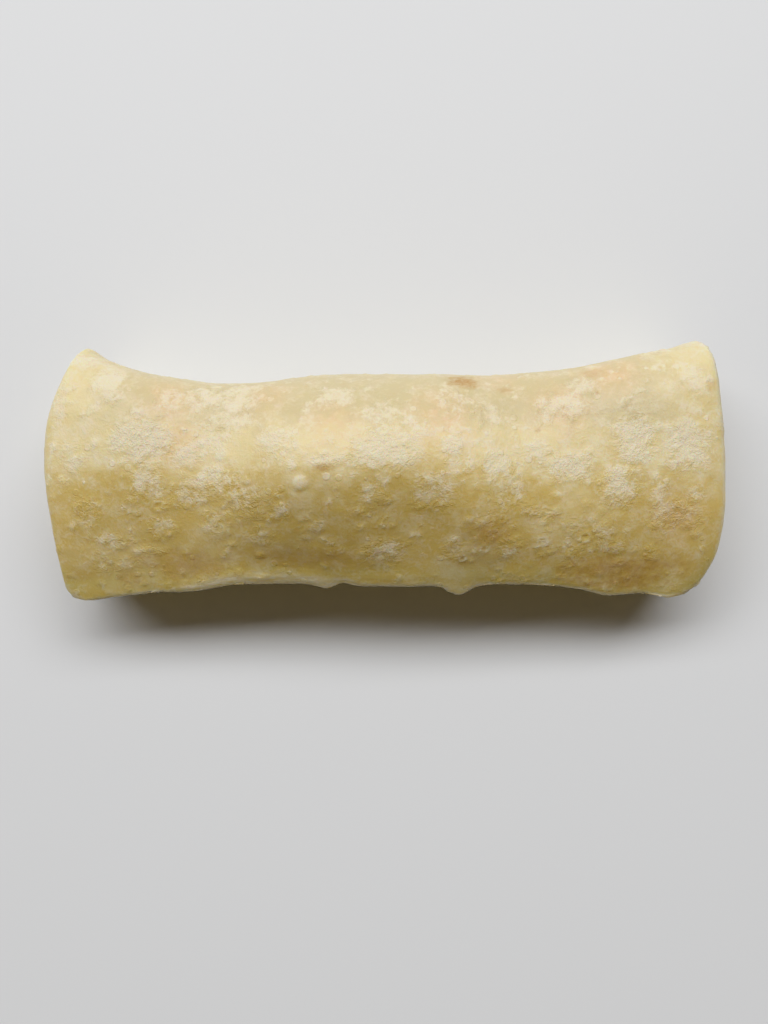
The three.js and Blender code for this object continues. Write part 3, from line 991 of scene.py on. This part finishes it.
# ------------------------------------------------------------------ materials
class Graph:
    """The nodes of a material or a world, each in the column after those that feed it."""

    def __init__(self, owner):
        owner.use_nodes = True
        self.tree = owner.node_tree
        self.tree.nodes.clear()
        self.rows = {}

    def node(self, kind, inputs=None, **settings):
        """A new node. Each input is a number, a colour, a vector or another node's output."""
        node = self.tree.nodes.new(kind)
        for name, value in settings.items():
            setattr(node, name, value)
        column = 0
        for name, value in (inputs or {}).items():
            socket = node.inputs[name]
            if isinstance(value, bpy.types.NodeSocket):
                self.tree.links.new(value, socket)
                column = max(column, round(value.node.location.x / COLUMN_WIDTH) + 1)
            elif socket.type == "RGBA":
                socket.default_value = (*value, 1)
            else:
                socket.default_value = value
        self.rows[column] = self.rows.get(column, 0) + 1
        node.location = (column * COLUMN_WIDTH, -self.rows[column] * ROW_HEIGHT)
        return node

    def figured(self, operation, *terms, clamp=False):
        """The result of one operation on numbers."""
        inputs = dict(enumerate(terms))
        return self.node("ShaderNodeMath", inputs, operation=operation, use_clamp=clamp).outputs[0]

    def added(self, first, *others):
        """The sum of all."""
        for other in others:
            first = self.figured("ADD", first, other)
        return first

    def times(self, first, second):
        return self.figured("MULTIPLY", first, second)

    def minus(self, first, second):
        return self.figured("SUBTRACT", first, second)

    def greater(self, first, second):
        return self.figured("MAXIMUM", first, second)

    def moved(self, operation, *places):
        """The result of one operation on places."""
        return self.node("ShaderNodeVectorMath", dict(enumerate(places)), operation=operation).outputs[0]

    def spread(self, value, source, target):
        """The value, led smoothly from the source's range into the target's."""
        limits = dict(zip(("From Min", "From Max", "To Min", "To Max"), (*source, *target)))
        inputs = {"Value": value, **limits}
        return self.node("ShaderNodeMapRange", inputs, interpolation_type="SMOOTHSTEP").outputs["Result"]

    def mixed(self, factor, first, second):
        """A colour mixed from two."""
        inputs = {0: factor, 6: first, 7: second}  # the node's sockets for colours
        return self.node("ShaderNodeMix", inputs, data_type="RGBA").outputs[2]

    def mask(self, name):
        """A mask of the piece's own, stored on its vertices."""
        return self.node("ShaderNodeAttribute", attribute_name=name).outputs["Fac"]

    def noise_at(self, place, size, detail=2, roughness=0.55, output="Fac"):
        """Noise on the piece with features of this size, in metres."""
        inputs = {"Vector": place, "Scale": 1 / size, "Detail": detail, "Roughness": roughness}
        return self.node("ShaderNodeTexNoise", inputs).outputs[output]

    def warped(self, place, size, reach):
        """The place, pushed about by noise of this size and reach, in metres."""
        push = self.noise_at(place, size, roughness=0.5, output="Color")
        centred = self.moved("SUBTRACT", push, (0.5, 0.5, 0.5))
        return self.moved("MULTIPLY_ADD", centred, (reach, reach, reach), place)

    def crinkles(self, place, size):
        """Thin winding ridges, from 0 to 1, spaced at about this size."""
        level = self.noise_at(place, size, roughness=0.5)
        away = self.figured("ABSOLUTE", self.minus(level, 0.5))
        return self.spread(away, (0, 0.13), (1, 0))

    def bubbles(self, place, size):
        """Scattered small round blisters of many sizes, from 0 to 1, with this much room for each."""
        spots = self.node("ShaderNodeTexVoronoi", {"Vector": place, "Scale": 1 / size})
        parts = self.node("ShaderNodeSeparateColor", {"Color": spots.outputs["Color"]})
        radius = self.spread(parts.outputs[0], (0.3, 1), (0, 0.3))
        return self.spread(self.minus(radius, spots.outputs["Distance"]), (0, 0.06), (0, 1))


def dough_patterns(graph):
    """The noise, ridges and bubbles on the dough, and the masks that its mesh carries."""
    place = graph.node("ShaderNodeTexCoord").outputs["Object"]
    bent = graph.warped(place, WOBBLE_SIZE, WOBBLE_REACH)
    tiny = graph.times(graph.crinkles(bent, TINY_RIDGE_SIZE), TINY_RIDGE_SHARE)
    return SimpleNamespace(
        clouds=graph.noise_at(place, CLOUD_SIZE),
        mottle=graph.noise_at(bent, MOTTLE_SIZE, 4, 0.6),
        grain=graph.noise_at(bent, GRAIN_SIZE, 3),
        fibres=graph.noise_at(graph.moved("MULTIPLY", bent, FIBRE_STRETCH), GRAIN_SIZE),
        creases=graph.added(graph.crinkles(bent, RIDGE_SIZE), tiny),
        bubbles=graph.bubbles(place, BUBBLE_SIZE),
        **{name: graph.mask(name) for name in MASKS},
    )


def dough_whiteness(graph, pattern):
    """How much flour covers the dough, from 0 to 1, with a painted pale sheen on the lit top that is weaker
    along the back, and fewer white patches on the shaded front.
    """
    coarse = graph.spread(pattern.mottle, (0.25, 0.75), (-0.45, 0.45))
    fine = graph.spread(pattern.grain, (0.3, 0.7), (-0.2, 0.2))
    ridged = graph.times(graph.minus(pattern.creases, 0.7), 0.22)
    speckled = graph.added(coarse, fine, ridged)
    # Painted sheen: the lit top is whitened, less along the back and not on the front slope.
    dry = graph.times(graph.minus(1, pattern.moist), graph.spread(pattern.tan, (0, 1), (0.34, 0.12)))
    spotted = graph.greater(pattern.flour, graph.times(pattern.bubbles, 0.5))
    # Painted shade: fewer white patches on the shaded front slope.
    faded = graph.times(spotted, graph.spread(pattern.moist, (0, 1), (1, 0.72)))
    patchy = graph.spread(graph.added(faded, dry, speckled), (0.05, 1.2), (0, 0.8))
    haze = graph.spread(speckled, (-0.25, 0.6), (0, 0.35))
    return graph.greater(haze, patchy)


def dough_colour(graph, dough, pattern, white):
    """Pale dough that turns darker and golden on the front slope as painted shade, and here and there with
    the clouds, with each further colour laid over it in its share.
    """
    clouded = graph.spread(pattern.clouds, (0.35, 0.65), (-0.3, 0.3))
    # Painted shade: darker and golden on the front slope, and a little here and there with the clouds.
    shade_and_clouds = graph.figured("ADD", pattern.moist, clouded, clamp=True)
    tinted = graph.times(pattern.blush, graph.spread(pattern.mottle, (0.3, 0.7), (0.3, 1)))
    # The free edge's band, and the painted glow along the right end's rim.
    fibrous = graph.times(pattern.edge, graph.spread(pattern.fibres, (0.3, 0.65), (0.25, 1)))
    # Brown spots, and painted shade on the front lip.
    scorched_and_shaded = graph.times(pattern.toast_and_shade, graph.spread(pattern.grain, (0.3, 0.6), (0.5, 1)))
    colour = graph.mixed(shade_and_clouds, dough.pale, dough.deep)
    for share, over in (
        # Painted shade along the back.
        (pattern.tan, dough.tan),
        (tinted, dough.blush),
        (white, dough.flour),
        (fibrous, dough.band_and_rim_glow),
        (scorched_and_shaded, dough.toast_and_shade),
    ):
        colour = graph.mixed(share, colour, over)
    return colour


def dough_bump(graph, pattern):
    """Creases that are stronger on the blistered patches, grain, the free edge's fibres and bubbles."""
    creased = graph.times(pattern.creases, graph.figured("MULTIPLY_ADD", pattern.crinkle, 0.85, 0.15))
    height = graph.added(creased, pattern.grain, graph.times(pattern.edge, pattern.fibres), pattern.bubbles)
    bump = graph.node("ShaderNodeBump", {"Height": height, "Strength": 1, "Distance": BUMP_HEIGHT})
    return bump.outputs["Normal"]


def dough_material(dough):
    """Cooked flour dough: slightly see-through, darker and golden on the front slope as painted shade,
    whitish where it blistered.
    """
    material = bpy.data.materials.new("flour_tortilla")
    graph = Graph(material)
    pattern = dough_patterns(graph)
    white = dough_whiteness(graph, pattern)
    finish = {
        "Base Color": dough_colour(graph, dough, pattern, white),
        "Roughness": graph.spread(white, (0, 1), (0.45, 0.7)),
        "Normal": dough_bump(graph, pattern),
        "Subsurface Weight": GLOW,
        "Subsurface Radius": GLOW_COLOURS,
        "Subsurface Scale": GLOW_REACH,
    }
    shader = graph.node("ShaderNodeBsdfPrincipled", finish, subsurface_method="RANDOM_WALK")
    graph.node("ShaderNodeOutputMaterial", {"Surface": shader.outputs[0]})
    return material


def floor_material(colour):
    """A plain matt surface."""
    material = bpy.data.materials.new("pale_floor")
    graph = Graph(material)
    shader = graph.node("ShaderNodeBsdfPrincipled", {"Base Color": colour, "Roughness": FLOOR_ROUGHNESS})
    graph.node("ShaderNodeOutputMaterial", {"Surface": shader.outputs[0]})
    return material


def room(colour, strength):
    """Light from all round, and a plain pale backdrop where the camera looks past the floor."""
    world = bpy.data.worlds.new("room")
    graph = Graph(world)
    seen = graph.node("ShaderNodeLightPath").outputs["Is Camera Ray"]
    light = graph.node("ShaderNodeBackground", {"Color": colour, "Strength": strength})
    backdrop = graph.node("ShaderNodeBackground", {"Color": BACKDROP})
    chosen = graph.node("ShaderNodeMixShader", {0: seen, 1: light.outputs[0], 2: backdrop.outputs[0]})
    graph.node("ShaderNodeOutputWorld", {"Surface": chosen.outputs[0]})
    return world


# ------------------------------------------------------------------ operators
class BURRITO_OT_tortilla_roll(bpy.types.Operator):
    """Makes the rolled tortilla, with its tucked ends, blisters, flour, brown spots and painted shade"""

    bl_idname = "burrito.tortilla_roll"
    bl_label = "Tortilla roll"

    def execute(self, context):
        dough = context.scene.burrito_dough
        outline = Outline()
        sheet = object_from(tortilla_sheet(outline), "tortilla")
        roll = joined(sheet, object_from(filled_core(outline), "core"))
        points = soft_contact(coordinates(roll.data))
        low, high = points.min(0), points.max(0)
        middle = np.array([(low[0] + high[0]) / 2, (low[1] + high[1]) / 2, 0])
        move_to(roll.data, (points - middle) * MM)
        skin = Skin(roll.data, dough.seed)
        floured(skin)
        blistered(skin, dough.blister_height)
        browned_and_shaded(skin)
        edged(skin, outline, middle)
        skin.finish(roll.data)
        roll.data.shade_smooth()
        roll.data.materials.clear()
        roll.data.materials.append(dough_material(dough))
        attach(roll, "root")
        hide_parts(NODE)
        return {"FINISHED"}


class BURRITO_OT_stage(bpy.types.Operator):
    """Makes the pale floor, the window light and the camera"""

    bl_idname = "burrito.stage"
    bl_label = "Stage"

    def execute(self, context):
        stage = context.scene.burrito_stage
        bm = bmesh.new()
        bmesh.ops.create_grid(bm, x_segments=1, y_segments=1, size=stage.floor_size / 2)
        bmesh.ops.translate(bm, vec=(0, 0, -FLOOR_GAP), verts=bm.verts[:])
        floor = object_from(bm, "floor")
        floor.data.materials.append(floor_material(stage.floor_colour))

        window = bpy.data.lights.new("window", "AREA")
        window.shape = "RECTANGLE"
        window.size, window.size_y = stage.window_width, stage.window_height
        window.energy = stage.window_power
        light = bpy.data.objects.new("window", window)
        level = math.cos(stage.window_elevation)
        behind = (-level * math.sin(stage.window_turn), level * math.cos(stage.window_turn))
        direction = Vector((*behind, math.sin(stage.window_elevation)))
        light.location = direction * stage.window_distance
        light.rotation_euler = direction.to_track_quat("Z", "Y").to_euler()
        context.scene.collection.objects.link(light)

        context.scene.world = room(stage.sky_colour, stage.sky_strength)
        context.scene.view_settings.view_transform = "Khronos PBR Neutral"

        camera = bpy.data.objects.new("camera", bpy.data.cameras.new("camera"))
        camera.data.lens = stage.lens
        camera.data.clip_start = CLIP_START
        camera.location = (-stage.camera_side, -stage.camera_front, stage.camera_height)
        context.scene.collection.objects.link(camera)
        context.scene.camera = camera
        return {"FINISHED"}


class BURRITO_PT_panel(bpy.types.Panel):
    """Lists the burrito's pieces and their settings"""

    bl_label = "Burrito"
    bl_idname = "BURRITO_PT_panel"
    bl_space_type = "VIEW_3D"
    bl_region_type = "UI"
    bl_category = "Burrito"

    def draw(self, context):
        for settings, operator in (
            (context.scene.burrito_dough, BURRITO_OT_tortilla_roll),
            (context.scene.burrito_stage, BURRITO_OT_stage),
        ):
            box = self.layout.box()
            box.operator(operator.bl_idname)
            for name in settings.__annotations__:
                box.prop(settings, name)


CLASSES = (BurritoDough, BurritoStage, BURRITO_OT_tortilla_roll, BURRITO_OT_stage, BURRITO_PT_panel)


def register():
    for cls in CLASSES:
        bpy.utils.register_class(cls)
    bpy.types.Scene.burrito_dough = bpy.props.PointerProperty(type=BurritoDough)
    bpy.types.Scene.burrito_stage = bpy.props.PointerProperty(type=BurritoStage)


def unregister():
    del bpy.types.Scene.burrito_stage
    del bpy.types.Scene.burrito_dough
    for cls in reversed(CLASSES):
        bpy.utils.unregister_class(cls)


def main():
    register()
    bpy.ops.burrito.tortilla_roll()
    bpy.ops.burrito.stage()


if __name__ == "__main__":
    main()
